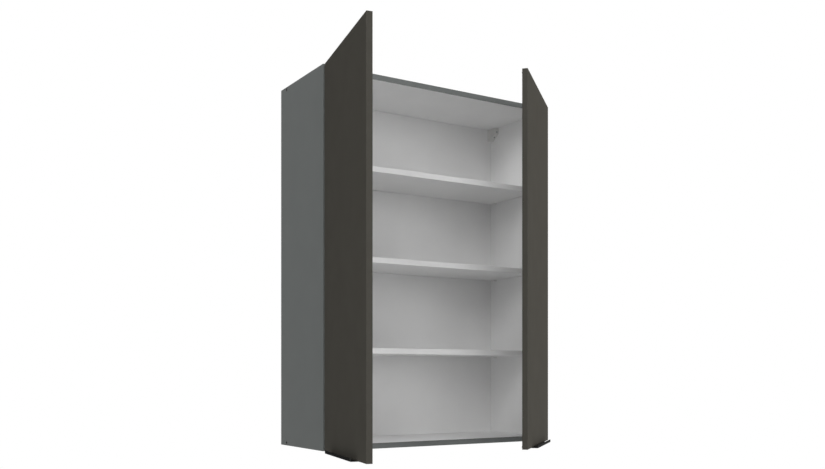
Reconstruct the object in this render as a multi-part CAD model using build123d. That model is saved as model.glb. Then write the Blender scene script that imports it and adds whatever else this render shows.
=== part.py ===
"""Two-door wall cabinet with three shelves, concealed cup hinges and wall hangers.

Units are millimetres. X runs to the right, Y towards the wall and Z up. The origin is
in the wall plane, at the middle of the carcass's bottom edge, so the carcass fills
Y = -CARCASS_D to 0 and the doors hang in front of it, at lower Y.
"""
from build123d import *
import os

# Carcass
CARCASS_W = 800.0
CARCASS_H = 1080.0
CARCASS_D = 288.0
BOARD_T = 16.0
EDGE_T = 1.0
EDGE_ROUND = 0.6
BACK_T = 3.0
BACK_RECESS = 14.0
GROOVE_DEPTH = 7.0
GROOVE_PLAY = 0.1

# Shelves and their pins
SHELF_NAMES = ("lower_shelf", "middle_shelf", "upper_shelf")
BOTTOM_CLEAR = 259.0
SHELF_CLEAR = 250.0
SHELF_SETBACK = 33.0
SHELF_END_PLAY = 0.5
SHELF_BACK_PLAY = 0.5
SHELF_PIN_INSET = 30.0
PIN_R = 2.5
PIN_IN_SIDE = 9.0
PIN_OUT = 9.0
PIN_COLLAR_R = 4.0
PIN_COLLAR_T = 1.5
PIN_FLAT = 1.8

# Carcass fasteners, each set in from the front or the wall plane
SCREW_REAR_INSET = 41.0
SCREW_LENGTH = 50.0
SCREW_HEAD_R = 5.0
SCREW_HEAD_T = 1.0
SCREW_CONE_T = 2.5
SCREW_SHANK_R = 3.5
SCREW_THREAD_R = 2.5
SOCKET_R = 2.3
SOCKET_DEPTH = 3.0
DOWEL_FRONT_INSET = 72.0
DOWEL_REAR_INSET = 88.0
DOWEL_R = 4.0
DOWEL_LENGTH = 30.0
DOWEL_IN_SIDE = 12.0
CAM_FRONT_INSET = 37.0
CAM_BACKSET = 24.0
CAM_R = 7.5
CAM_H = 12.0
CAM_SLOT_W = 1.4
CAM_SLOT_DEPTH = 2.0
BOLT_IN_SIDE = 11.0
BOLT_THREAD_R = 2.5
BOLT_SHANK_R = 3.5
BOLT_NECK_R = 1.6
BOLT_HEAD_R = 2.9
BOLT_HEAD_L = 3.0

# Doors
DOOR_T = 16.0
DOOR_SIDE_REVEAL = 0.5
DOOR_CENTRE_GAP = 3.0
DOOR_END_REVEAL = 1.5
DOOR_GAP = 3.0
LEFT_OPEN = 102.0
RIGHT_OPEN = 41.5
BUMPER_R = 4.5
BUMPER_T = 2.7
BUMPER_INSET = 14.0

# Edge handle along the bottom of each door
HANDLE_LENGTH = 246.0
HANDLE_REACH = 18.5
HANDLE_PLATE_T = 1.2
HANDLE_LEG_T = 1.5
HANDLE_LEG_H = 22.0
HANDLE_LIP_T = 1.5
HANDLE_LIP_H = 9.0
HANDLE_LIP_ROUND = 0.6
HANDLE_BEND_R = 2.0
HANDLE_SCREW_SPACING = 96.0
HANDLE_SCREW_HEIGHT = 13.0

# Single-pivot cup hinge: the pivot is set in from the door's edge and back face
HINGE_END_INSET = 100.0
PIVOT_INSET = 7.0
PIVOT_DEPTH = 9.2
CUP_R = 17.5
CUP_EDGE = 3.0
CUP_DEPTH = 12.5
CUP_WALL = 0.6
CUP_FLOOR = 0.8
EAR_FRONT = 3.0
EAR_HEIGHT = 2.2
FLANGE_T = 1.2
FLANGE_RIM = 2.0
WING_OFFSET = 9.5
WING_W = 15.0
WING_SPAN = 58.0
WING_ROUND = 5.0
HINGE_PIN_R = 1.2
HINGE_PIN_LENGTH = 17.6
EYE_R = 2.0
ARM_SHEET = 1.7
ARM_NECK_W = 11.0
ARM_NECK_RUN = 12.75
ARM_BEND_R = 2.5
ARM_W = 18.0
ARM_START = 4.0
ARM_END = 62.0
ARM_FLANGE_H = 7.5
ARM_NOSE = 3.7
PLATE_START = 9.0
PLATE_WING_T = 2.0
PLATE_WING_W = 14.0
PLATE_WING_SPAN = 48.0
PLATE_WING_ROUND = 4.5
PLATE_SCREW_BACKSET = 37.0
PLATE_SCREW_SPACING = 32.0
ARM_SCREW_BACKSET = 52.0
ADJUSTER_BACKSET = 19.0
SPRING_T = 0.3
SPRING_W = 8.0
SPRING_TAIL = 6.0

# Small screws: shank radius, length in the wood, head radius and height; the flat top of a
# pan head or a bumper takes up CROWN of its radius
CROWN = 0.7
WOOD_SCREW_R = 1.75
WOOD_SCREW_LENGTH = 11.0
WOOD_SCREW_HEAD_R = 3.3
WOOD_SCREW_HEAD_T = 1.6
CUP_SCREW_SPACING = 45.0
EURO_SCREW_R = 2.5
EURO_SCREW_LENGTH = 11.0
EURO_SCREW_HEAD_R = 3.6
EURO_SCREW_HEAD_T = 1.8

# Wall hangers in the upper rear corners
HANGER_W = 14.0
HANGER_DEPTH = 44.0
HANGER_H = 40.0
HANGER_NOSE_H = 20.0
HANGER_FOOT = 16.0
HANGER_WALL = 2.0
HANGER_TOP_PLAY = 0.5
PEG_R = 5.0
PEG_LENGTH = 11.0
HOOK_T = 2.5
HOOK_BAR_H = 8.0
HOOK_DROP = 14.5
HOOK_FRONT_INSET = 15.0
HOOK_FINGER_H = 14.0
HOOK_FINGER_T = 4.0
HOOK_WALL_PLAY = 4.0
HOOK_TRAVEL = 4.0
HANGER_ADJUSTER_R = 3.0
HANGER_ADJUSTER_IN = 5.0

# Clearances
FIT = 0.05
RUNNING_FIT = 0.05
SLIDE_FIT = 0.3
DRILL_OVER = 0.5
CLAMP_END_PLAY = 0.2

# Derived places, on the left half; the right half mirrors them
OUTER_X = -CARCASS_W / 2
INNER_X = OUTER_X + BOARD_T
FRONT_Y = -CARCASS_D
BACK_FACE_Y = -(BACK_RECESS + BACK_T)
CEILING_Z = CARCASS_H - BOARD_T
JOINT_HEIGHTS = (BOARD_T / 2, CARCASS_H - BOARD_T / 2)
SHELF_PITCH = SHELF_CLEAR + BOARD_T
SHELF_UNDERSIDES = [BOARD_T + BOTTOM_CLEAR + SHELF_PITCH * i for i in range(len(SHELF_NAMES))]
HINGE_HEIGHTS = {
    "bottom": HINGE_END_INSET,
    "middle": (SHELF_UNDERSIDES[1] + BOARD_T + SHELF_UNDERSIDES[2]) / 2,
    "top": CARCASS_H - HINGE_END_INSET,
}
DOOR_W = (CARCASS_W - DOOR_CENTRE_GAP) / 2 - DOOR_SIDE_REVEAL
DOOR_EDGE_X = OUTER_X + DOOR_SIDE_REVEAL
DOOR_FREE_X = DOOR_EDGE_X + DOOR_W
DOOR_BACK_Y = FRONT_Y - DOOR_GAP
DOOR_FRONT_Y = DOOR_BACK_Y - DOOR_T
DOOR_TOP_Z = CARCASS_H - DOOR_END_REVEAL
PIVOT_X = DOOR_EDGE_X + PIVOT_INSET
PIVOT_Y = DOOR_BACK_Y - PIVOT_DEPTH
CUP_X = DOOR_EDGE_X + CUP_EDGE + CUP_R
CUP_BOTTOM_Y = DOOR_BACK_Y - CUP_DEPTH
CUP_FLOOR_Y = CUP_BOTTOM_Y + CUP_FLOOR
ARM_X = PIVOT_X + ARM_NECK_RUN
ARM_BACK_X = ARM_X - ARM_SHEET / 2
ARM_FACE_X = ARM_X + ARM_SHEET / 2
WING_X = CUP_X + WING_OFFSET
HANGER_TOP_Z = CEILING_Z - HANGER_TOP_PLAY
HANGER_FRONT_Y = BACK_FACE_Y - HANGER_DEPTH
HANGER_FACE_X = INNER_X + HANGER_W
HOOK_Z = HANGER_TOP_Z - HOOK_DROP
HOOK_FRONT_Y = HANGER_FRONT_Y + HOOK_FRONT_INSET
HOOK_X = HANGER_FACE_X - HANGER_WALL - SLIDE_FIT - HOOK_T / 2
ADJUSTER_X = INNER_X + HANGER_W / 2

ALONG_X = (1, 0, 0)
ALONG_Y = (0, 1, 0)
ALONG_Z = (0, 0, 1)
OUTWARDS = (-1, 0, 0)
TO_FRONT = (0, -1, 0)
MIRROR = Plane.YZ


def block(x, y, z):
    """Box between pairs of X, Y and Z values."""
    size = [span[1] - span[0] for span in (x, y, z)]
    centre = [(span[0] + span[1]) / 2 for span in (x, y, z)]
    return Pos(*centre) * Box(*size)


def turned(profile, origin, direction):
    """Solid of revolution: profile holds (radius, distance along the axis) pairs."""
    outline = make_face(Polyline(*[(r, 0, t) for r, t in profile], close=True))
    return Plane(origin=origin, z_dir=direction) * revolve(outline, Axis.Z)


def rod(radius, length, origin, direction):
    """Plain cylinder that starts at the origin and runs along the direction."""
    return turned([(0, 0), (radius, 0), (radius, length), (0, length)], origin, direction)


def both_sides(pieces):
    """The pieces of the left half with their mirror images on the right."""
    return list(pieces) + [mirror(piece, about=MIRROR) for piece in pieces]


def rounded_strip(x, y, z, edges_along, outer):
    """Edge band with its two long outer edges rounded; outer picks them from the box's edges."""
    strip = block(x, y, z)
    edges = outer(strip.edges().filter_by(edges_along))
    return fillet(edges, EDGE_ROUND)


def front_edges(edges):
    """The two edges nearest the front."""
    return edges.sort_by(Axis.Y)[:2]


# Carcass fasteners

def carcass_screw_places():
    """Left-hand screw heads, in the rear corners: points on the outer face of the side."""
    return [(OUTER_X, -SCREW_REAR_INSET, z) for z in JOINT_HEIGHTS]


def hex_socket(place, direction):
    """Cutter for a six-sided driver recess in a screw's end."""
    return Plane(origin=place, z_dir=direction) * extrude(RegularPolygon(SOCKET_R, 6), SOCKET_DEPTH)


def carcass_screw(place):
    """One-piece connecting screw with a countersunk head, flush with the side."""
    neck = SCREW_HEAD_T + SCREW_CONE_T
    tip = SCREW_THREAD_R
    body = turned(
        [
            (0, 0), (SCREW_HEAD_R, 0), (SCREW_HEAD_R, SCREW_HEAD_T), (SCREW_SHANK_R, neck),
            (SCREW_SHANK_R, BOARD_T), (SCREW_THREAD_R, BOARD_T),
            (SCREW_THREAD_R, SCREW_LENGTH - tip), (0, SCREW_LENGTH),
        ],
        place, ALONG_X,
    )
    return body - hex_socket(place, ALONG_X)


def carcass_screw_holes(place):
    """Cutter for the stepped hole through the side and the pilot hole in the board behind it."""
    neck = SCREW_HEAD_T + SCREW_CONE_T
    return turned(
        [
            (0, -DRILL_OVER), (SCREW_HEAD_R + FIT, -DRILL_OVER), (SCREW_HEAD_R + FIT, SCREW_HEAD_T),
            (SCREW_SHANK_R + FIT, neck + FIT), (SCREW_SHANK_R + FIT, BOARD_T + FIT),
            (SCREW_THREAD_R + FIT, BOARD_T + FIT), (SCREW_THREAD_R + FIT, SCREW_LENGTH + DRILL_OVER),
            (0, SCREW_LENGTH + DRILL_OVER),
        ],
        place, ALONG_X,
    )


def dowel_places():
    """Left-hand dowels: points on their axes at the inner face of the side."""
    ys = (FRONT_Y + DOWEL_FRONT_INSET, -DOWEL_REAR_INSET)
    return [(INNER_X, y, z) for y in ys for z in JOINT_HEIGHTS]


def dowel(place):
    """Wooden dowel across a corner joint."""
    x, y, z = place
    return rod(DOWEL_R, DOWEL_LENGTH, (x - DOWEL_IN_SIDE, y, z), ALONG_X)


def dowel_hole(place):
    """Cutter for a dowel's hole, a little longer than the dowel at each end."""
    x, y, z = place
    start = (x - DOWEL_IN_SIDE - DRILL_OVER, y, z)
    return rod(DOWEL_R + FIT, DOWEL_LENGTH + 2 * DRILL_OVER, start, ALONG_X)


def cam_places():
    """Left-hand cam fittings, in the front corners: points on their bolts at the inner face of the side."""
    return [(INNER_X, FRONT_Y + CAM_FRONT_INSET, z) for z in JOINT_HEIGHTS]


def cam_frame(place):
    """Middle of a cam's outer end, flush with the board's outer face, and the direction into the board."""
    x, y, z = place
    inward = 1 if z < CARCASS_H / 2 else -1
    return (x + CAM_BACKSET, y, z - inward * BOARD_T / 2), (0, 0, inward)


def cam_bolt(place):
    """Bolt screwed into the side, with a head behind a neck for the cam to pull on."""
    shank_end = CAM_BACKSET - CAM_R - SLIDE_FIT
    head = CAM_BACKSET - BOLT_HEAD_L / 2
    return turned(
        [
            (0, -BOLT_IN_SIDE), (BOLT_THREAD_R, -BOLT_IN_SIDE), (BOLT_THREAD_R, 0), (BOLT_SHANK_R, 0),
            (BOLT_SHANK_R, shank_end), (BOLT_NECK_R, shank_end), (BOLT_NECK_R, head),
            (BOLT_HEAD_R, head), (BOLT_HEAD_R, head + BOLT_HEAD_L), (0, head + BOLT_HEAD_L),
        ],
        place, ALONG_X,
    )


def cam(place):
    """Cast cam, turned shut: a narrow mouth round the bolt's neck and a wide way in from the far side."""
    start, inward = cam_frame(place)
    x, y, z = place
    head_x = x + CAM_BACKSET - BOLT_HEAD_L / 2 - FIT
    mouth = rod(BOLT_NECK_R + SLIDE_FIT, CAM_BACKSET, place, ALONG_X)
    way_in = rod(BOLT_HEAD_R + SLIDE_FIT, BOLT_HEAD_L + CAM_R, (head_x, y, z), ALONG_X)
    slot = Pos(*start) * Box(2 * (CAM_R - CAM_SLOT_W), CAM_SLOT_W, 2 * CAM_SLOT_DEPTH)
    return rod(CAM_R, CAM_H, start, inward) - [mouth, way_in, slot]


def cam_holes(place):
    """Cutters for a cam's round pocket and for its bolt's way in from the board's end."""
    (x, y, z), inward = cam_frame(place)
    pocket = rod(CAM_R + FIT, CAM_H + DRILL_OVER + FIT, (x, y, z - inward[2] * DRILL_OVER), inward)
    bolt_way = rod(BOLT_SHANK_R + FIT, CAM_BACKSET + DRILL_OVER, (INNER_X - DRILL_OVER, y, place[2]), ALONG_X)
    return [pocket, bolt_way]


# Carcass boards

def groove(x, z):
    """Cutter for the groove that holds the back."""
    ys = (-(BACK_RECESS + BACK_T + GROOVE_PLAY), -(BACK_RECESS - GROOVE_PLAY))
    return block(x, ys, z)


def shelf_pin_places():
    """Left-hand shelf pins: points on their axes at the inner face of the side."""
    front_y = FRONT_Y + SHELF_SETBACK + SHELF_PIN_INSET
    rear_y = BACK_FACE_Y - SHELF_BACK_PLAY - SHELF_PIN_INSET
    return [(INNER_X, y, z - PIN_FLAT) for z in SHELF_UNDERSIDES for y in (front_y, rear_y)]


def plate_screw_places():
    """Left-hand hinge plate screws: points where their heads seat on the plate's wings."""
    y = FRONT_Y + PLATE_SCREW_BACKSET
    x = INNER_X + PLATE_WING_T
    half = PLATE_SCREW_SPACING / 2
    return [(x, y, z + step) for z in HINGE_HEIGHTS.values() for step in (-half, half)]


def peg_places():
    """Left-hand hanger pegs: points on their axes at the inner face of the side."""
    front = (INNER_X, HANGER_FRONT_Y + HANGER_WALL + PEG_R, HANGER_TOP_Z - HANGER_NOSE_H / 2)
    rear = (INNER_X, BACK_FACE_Y - PEG_R - HANGER_WALL, HANGER_TOP_Z - HANGER_H + HANGER_WALL + PEG_R)
    return [front, rear]


def blind_hole(place, radius, depth):
    """Cutter for a hole in the side's inner face, level with the place."""
    start = (INNER_X - depth - DRILL_OVER, place[1], place[2])
    return rod(radius + FIT, depth + 2 * DRILL_OVER, start, ALONG_X)


def left_side():
    """Full-height side board, drilled for everything that it carries."""
    board = block((OUTER_X, INNER_X), (FRONT_Y + EDGE_T, 0), (0, CARCASS_H))
    cutters = [groove((INNER_X - GROOVE_DEPTH, INNER_X + DRILL_OVER),
                      (BOARD_T - GROOVE_DEPTH, CEILING_Z + GROOVE_DEPTH))]
    cutters += [carcass_screw_holes(place) for place in carcass_screw_places()]
    cutters += [dowel_hole(place) for place in dowel_places()]
    for places, radius, depth in (
        (shelf_pin_places(), PIN_R, PIN_IN_SIDE),
        (cam_places(), BOLT_THREAD_R, BOLT_IN_SIDE),
        (plate_screw_places(), EURO_SCREW_R, EURO_SCREW_LENGTH),
        (peg_places(), PEG_R, PEG_LENGTH),
    ):
        cutters += [blind_hole(place, radius, depth) for place in places]
    return board - cutters


def level_board(bottom_z, groove_side):
    """Top or bottom board between the sides; groove_side is +1 when its inner face is its upper one."""
    board = block((INNER_X, -INNER_X), (FRONT_Y + EDGE_T, 0), (bottom_z, bottom_z + BOARD_T))
    inner_z = bottom_z + (BOARD_T if groove_side > 0 else 0.0)
    zs = sorted((inner_z - groove_side * GROOVE_DEPTH, inner_z + groove_side * DRILL_OVER))
    cutters = [groove((INNER_X - DRILL_OVER, -INNER_X + DRILL_OVER), zs)]
    ends = [carcass_screw_holes(place) for place in carcass_screw_places()]
    ends += [dowel_hole(place) for place in dowel_places()]
    ends += [hole for place in cam_places() for hole in cam_holes(place)]
    return board - (cutters + both_sides(ends))


def back_panel():
    """Thin back in the grooves, with a slot for each hanger's hook."""
    reach = GROOVE_DEPTH - DRILL_OVER
    xs = (INNER_X - reach, -INNER_X + reach)
    panel = block(xs, (BACK_FACE_Y, -BACK_RECESS), (BOARD_T - reach, CEILING_Z + reach))
    half_h = HOOK_BAR_H / 2 + HOOK_TRAVEL + SLIDE_FIT
    half_w = HOOK_T / 2 + SLIDE_FIT
    slot = block((HOOK_X - half_w, HOOK_X + half_w), (BACK_FACE_Y - DRILL_OVER, 0),
                 (HOOK_Z - half_h, HOOK_Z + half_h))
    return panel - both_sides([slot])


def carcass_edge_bands():
    """Bands on the front edges of the four outer boards."""
    ys = (FRONT_Y, FRONT_Y + EDGE_T)
    side = rounded_strip((OUTER_X, INNER_X), ys, (0, CARCASS_H), Axis.Z, front_edges)
    levels = [
        rounded_strip((INNER_X, -INNER_X), ys, (z, z + BOARD_T), Axis.X, front_edges)
        for z in (0.0, CEILING_Z)
    ]
    return both_sides([side]) + levels


# Shelves

def shelf_ends():
    """X values of a shelf's ends."""
    return (INNER_X + SHELF_END_PLAY, -INNER_X - SHELF_END_PLAY)


def shelf(underside):
    """Loose shelf board that lies on its pins."""
    ys = (FRONT_Y + SHELF_SETBACK + EDGE_T, BACK_FACE_Y - SHELF_BACK_PLAY)
    return block(shelf_ends(), ys, (underside, underside + BOARD_T))


def shelf_edge_band(underside):
    """Band on a shelf's front edge."""
    front = FRONT_Y + SHELF_SETBACK
    zs = (underside, underside + BOARD_T)
    return rounded_strip(shelf_ends(), (front, front + EDGE_T), zs, Axis.X, front_edges)


def shelf_pin(place):
    """Turned pin with a collar against the side and a flat that carries the shelf."""
    x, y, z = place
    pin = turned(
        [
            (0, -PIN_IN_SIDE), (PIN_R, -PIN_IN_SIDE), (PIN_R, 0), (PIN_COLLAR_R, 0),
            (PIN_COLLAR_R, PIN_COLLAR_T), (PIN_R, PIN_COLLAR_T), (PIN_R, PIN_OUT), (0, PIN_OUT),
        ],
        place, ALONG_X,
    )
    above = block((x, x + PIN_OUT + DRILL_OVER), (y - PIN_COLLAR_R, y + PIN_COLLAR_R),
                  (z + PIN_FLAT, z + PIN_FLAT + PIN_COLLAR_R))
    return pin - above


# Wall hangers

def hanger_outline(inset, rear_y):
    """Side view of the hanger, drawn in by a wall thickness."""
    top = HANGER_TOP_Z - inset
    front = HANGER_FRONT_Y + inset
    foot = BACK_FACE_Y - HANGER_FOOT
    bottom = HANGER_TOP_Z - HANGER_H + inset
    nose = HANGER_TOP_Z - HANGER_NOSE_H + inset / 2
    return make_face(Plane.YZ * Polyline(
        (rear_y, top), (front, top), (front, nose), (foot + inset / 2, bottom), (rear_y, bottom), close=True))


def adjuster_frame():
    """Start point and inward direction of the height adjuster, square to the sloping face."""
    run = (BACK_FACE_Y - HANGER_FOOT) - HANGER_FRONT_Y
    drop = HANGER_H - HANGER_NOSE_H
    middle = (ADJUSTER_X, HANGER_FRONT_Y + run / 2, HANGER_TOP_Z - HANGER_NOSE_H - drop / 2)
    return middle, Vector(0, drop, run).normalized()


def hanger_adjuster_cutters():
    """Holes for the depth adjuster in the nose and the height adjuster in the sloping face."""
    middle, inward = adjuster_frame()
    radius = HANGER_ADJUSTER_R + FIT
    reach = HANGER_ADJUSTER_IN + DRILL_OVER
    depth = rod(radius, 2 * reach, (ADJUSTER_X, HANGER_FRONT_Y - reach, HOOK_Z), ALONG_Y)
    height = rod(radius, 2 * reach, Vector(middle) - reach * inward, inward)
    return [depth, height]


def hanger_body():
    """Moulded housing, open at the back, with two pegs pressed into the side board."""
    shell = Pos(INNER_X, 0, 0) * extrude(hanger_outline(0.0, BACK_FACE_Y), HANGER_W)
    hollow = Pos(INNER_X + HANGER_WALL, 0, 0) * extrude(
        hanger_outline(HANGER_WALL, BACK_FACE_Y + DRILL_OVER), HANGER_W - 2 * HANGER_WALL)
    pegs = [rod(PEG_R, PEG_LENGTH, (x - PEG_LENGTH, y, z), ALONG_X) for x, y, z in peg_places()]
    return shell - [hollow] - hanger_adjuster_cutters() + pegs


def hanger_hook():
    """Steel bar through the back, with a finger that drops behind the wall rail."""
    xs = (HOOK_X - HOOK_T / 2, HOOK_X + HOOK_T / 2)
    rear = -HOOK_WALL_PLAY
    upper = HOOK_Z + HOOK_BAR_H / 2
    bar = block(xs, (HOOK_FRONT_Y, rear), (HOOK_Z - HOOK_BAR_H / 2, upper))
    finger = block(xs, (rear - HOOK_FINGER_T, rear), (upper - HOOK_BAR_H - HOOK_FINGER_H, upper))
    hook = bar + finger
    crown = hook.edges().filter_by(Axis.X).group_by(Axis.Z)[-1].sort_by(Axis.Y)[-1]
    return fillet(crown, HOOK_FINGER_T)


def hanger_adjusters():
    """Set screws for the hook's depth and height, with a driver recess."""
    middle, inward = adjuster_frame()
    depth_length = HOOK_FRONT_Y - SLIDE_FIT - HANGER_FRONT_Y
    screws = []
    for start, direction, length in (
        ((ADJUSTER_X, HANGER_FRONT_Y, HOOK_Z), Vector(ALONG_Y), depth_length),
        (middle, inward, HANGER_ADJUSTER_IN),
    ):
        screws.append(rod(HANGER_ADJUSTER_R, length, start, direction) - hex_socket(start, direction))
    return screws


# Hinges, drawn for a closed left door

def cup_plane(y):
    """Drawing plane parallel to the door's face whose normal points out of the front."""
    return Plane(origin=(0, y, 0), x_dir=ALONG_X, z_dir=TO_FRONT)


def cup_disc(radius, y, depth, z):
    """Disc on the cup's axis that starts at y and runs towards the front."""
    return extrude(cup_plane(y) * (Pos(CUP_X, z) * Circle(radius)), depth)


def hinge_axis_rod(radius, length, z):
    """Cylinder centred on the hinge's axis."""
    return rod(radius, length, (PIVOT_X, PIVOT_Y, z - length / 2), ALONG_Z)


def hinge_pin(z):
    """Riveted pin, tight in the cup's ears and running in the arm's eye."""
    return hinge_axis_rod(HINGE_PIN_R, HINGE_PIN_LENGTH, z)


def cup_screw_places(z):
    """Points where one cup's screws seat on its flange."""
    half = CUP_SCREW_SPACING / 2
    return [(WING_X, DOOR_BACK_Y + FLANGE_T, z + step) for step in (-half, half)]


def hinge_cup(z):
    """Cast cup with ears for the pin and a flange away from the door's edge."""
    inside = CUP_R - CUP_WALL
    cup = cup_disc(CUP_R, DOOR_BACK_Y, CUP_DEPTH, z)
    hollow = cup_disc(inside, DOOR_BACK_Y, CUP_DEPTH - CUP_FLOOR, z)
    ears = block((DOOR_EDGE_X, PIVOT_X + EAR_FRONT), (CUP_FLOOR_Y, PIVOT_Y + EAR_HEIGHT),
                 (z - CUP_R, z + CUP_R))
    neck = ARM_NECK_W / 2 + SLIDE_FIT
    ears = (ears & hollow) - block((DOOR_EDGE_X, CUP_X), (CUP_BOTTOM_Y, DOOR_BACK_Y), (z - neck, z + neck))
    rim_r = CUP_R + FLANGE_RIM
    rim = Pos(CUP_X, z) * Circle(rim_r)
    far_half = Pos(CUP_X + rim_r / 2, z) * Rectangle(rim_r, 2 * rim_r)
    wings = Pos(WING_X, z) * RectangleRounded(WING_W, WING_SPAN, WING_ROUND)
    mouth = Pos(CUP_X, z) * Circle(inside)
    flange = extrude(cup_plane(DOOR_BACK_Y + FLANGE_T) * ((rim & far_half) + wings - mouth), FLANGE_T)
    holes = [
        rod(WOOD_SCREW_R + FIT, FLANGE_T + DRILL_OVER, (x, y + DRILL_OVER, screw_z), TO_FRONT)
        for x, y, screw_z in cup_screw_places(z)
    ]
    return (cup - hollow) + ears + flange - holes - hinge_pin(z)


def hinge_spring(z):
    """Leaf spring on the cup's floor, under the eye, with its tail up the far wall."""
    floor_y = CUP_FLOOR_Y + SPRING_T
    half = SPRING_W / 2
    far_x = CUP_X + ((CUP_R - CUP_WALL) ** 2 - half ** 2) ** 0.5 - FIT
    zs = (z - half, z + half)
    leaf = block((PIVOT_X - EYE_R / 2, far_x), (CUP_FLOOR_Y, floor_y), zs)
    tail = block((far_x - SPRING_T, far_x), (CUP_FLOOR_Y, floor_y + SPRING_TAIL), zs)
    return leaf + tail


def hinge_arm(z):
    """Gooseneck arm: an eye on the pin, a run under the cup's mouth and a channel along the side."""
    run_y = PIVOT_Y - EYE_R + ARM_SHEET / 2
    start_y = FRONT_Y + ARM_START
    end_y = FRONT_Y + ARM_END
    neck_line = FilletPolyline(
        (PIVOT_X, run_y), (ARM_X, run_y), (ARM_X, start_y + ARM_SHEET), radius=ARM_BEND_R)
    neck = Pos(0, 0, z) * extrude(trace(neck_line, ARM_SHEET), ARM_NECK_W / 2, both=True)
    eye = hinge_axis_rod(EYE_R, ARM_NECK_W, z)
    half = ARM_W / 2
    web = block((ARM_BACK_X, ARM_FACE_X), (start_y, end_y), (z - half, z + half))
    flanges = [
        block((ARM_BACK_X, ARM_BACK_X + ARM_FLANGE_H), (start_y, end_y), (low, low + ARM_SHEET))
        for low in (z - half, z + half - ARM_SHEET)
    ]
    channel = web + flanges
    nose = channel.edges().filter_by(Axis.Z).group_by(Axis.X)[-1]
    channel = chamfer(nose, ARM_NOSE)
    through = ARM_SHEET + 2 * DRILL_OVER
    holes = [
        rod(EURO_SCREW_R + FIT, through, (ARM_BACK_X - DRILL_OVER, FRONT_Y + backset, z), ALONG_X)
        for backset in (ARM_SCREW_BACKSET, ADJUSTER_BACKSET)
    ]
    bore = hinge_axis_rod(HINGE_PIN_R + RUNNING_FIT, ARM_NECK_W + 2 * DRILL_OVER, z)
    return neck + eye + channel - holes - bore


def hinge_plate(z):
    """Mounting plate: a block under the arm and two wings that are screwed to the side."""
    half = ARM_W / 2
    pad = block((INNER_X, ARM_BACK_X), (FRONT_Y + PLATE_START, FRONT_Y + ARM_END), (z - half, z + half))
    wing_y = FRONT_Y + PLATE_SCREW_BACKSET
    span = PLATE_WING_SPAN / 2
    wings = block((INNER_X, INNER_X + PLATE_WING_T),
                  (wing_y - PLATE_WING_W / 2, wing_y + PLATE_WING_W / 2), (z - span, z + span))
    wings = fillet(wings.edges().filter_by(Axis.X), PLATE_WING_ROUND)
    through = ARM_BACK_X - INNER_X + 2 * DRILL_OVER
    centres = [(wing_y, z - PLATE_SCREW_SPACING / 2), (wing_y, z + PLATE_SCREW_SPACING / 2),
               (FRONT_Y + ARM_SCREW_BACKSET, z)]
    holes = [rod(EURO_SCREW_R + FIT, through, (INNER_X - DRILL_OVER, *centre), ALONG_X) for centre in centres]
    return pad + wings - holes


def pan_screw(place, direction, radius, length, head_r, head_t, point=0.0):
    """Pan-head screw whose head seats at the place and whose shank runs along the direction."""
    return turned(
        [
            (0, -head_t), (head_r * CROWN, -head_t), (head_r, -head_t / 2), (head_r, 0),
            (radius, 0), (radius, length - point), (0, length),
        ],
        place, direction,
    )


def euro_screw(place, length):
    """Blunt screw through hinge metal, towards the outside of the carcass."""
    return pan_screw(place, OUTWARDS, EURO_SCREW_R, length, EURO_SCREW_HEAD_R, EURO_SCREW_HEAD_T)


def arm_screws(z):
    """Clamp screw into the plate, and the adjuster that bears on the plate's face."""
    clamp_length = ARM_FACE_X - INNER_X - CLAMP_END_PLAY
    clamp = euro_screw((ARM_FACE_X, FRONT_Y + ARM_SCREW_BACKSET, z), clamp_length)
    adjuster = euro_screw((ARM_FACE_X, FRONT_Y + ADJUSTER_BACKSET, z), ARM_SHEET)
    return [clamp, adjuster]


def cup_screw(place):
    """Pointed wood screw through the cup's flange into the door."""
    return pan_screw(
        place, TO_FRONT, WOOD_SCREW_R, FLANGE_T + WOOD_SCREW_LENGTH,
        WOOD_SCREW_HEAD_R, WOOD_SCREW_HEAD_T, point=WOOD_SCREW_R,
    )


# Doors, drawn closed on the left

def handle_screw_places():
    """Points where the handle's screws lie flush in its leg."""
    middle = (DOOR_EDGE_X + DOOR_FREE_X) / 2
    z = DOOR_END_REVEAL + HANDLE_SCREW_HEIGHT
    steps = (-HANDLE_SCREW_SPACING, 0.0, HANDLE_SCREW_SPACING)
    return [(middle + step, DOOR_BACK_Y + HANDLE_LEG_T, z) for step in steps]


def handle_screw(place):
    """Countersunk wood screw, flush with the handle's leg."""
    length = HANDLE_LEG_T + WOOD_SCREW_LENGTH
    return turned(
        [
            (0, 0), (WOOD_SCREW_R + HANDLE_LEG_T, 0), (WOOD_SCREW_R, HANDLE_LEG_T),
            (WOOD_SCREW_R, length - WOOD_SCREW_R), (0, length),
        ],
        place, TO_FRONT,
    )


def handle_screw_hole(place):
    """Cutter for the countersink in the leg and the pilot hole in the door."""
    shank = WOOD_SCREW_R + FIT
    length = HANDLE_LEG_T + WOOD_SCREW_LENGTH + DRILL_OVER
    return turned(
        [
            (0, -DRILL_OVER), (shank + HANDLE_LEG_T, -DRILL_OVER), (shank + HANDLE_LEG_T, 0),
            (shank, HANDLE_LEG_T), (shank, length), (0, length),
        ],
        place, TO_FRONT,
    )


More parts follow.
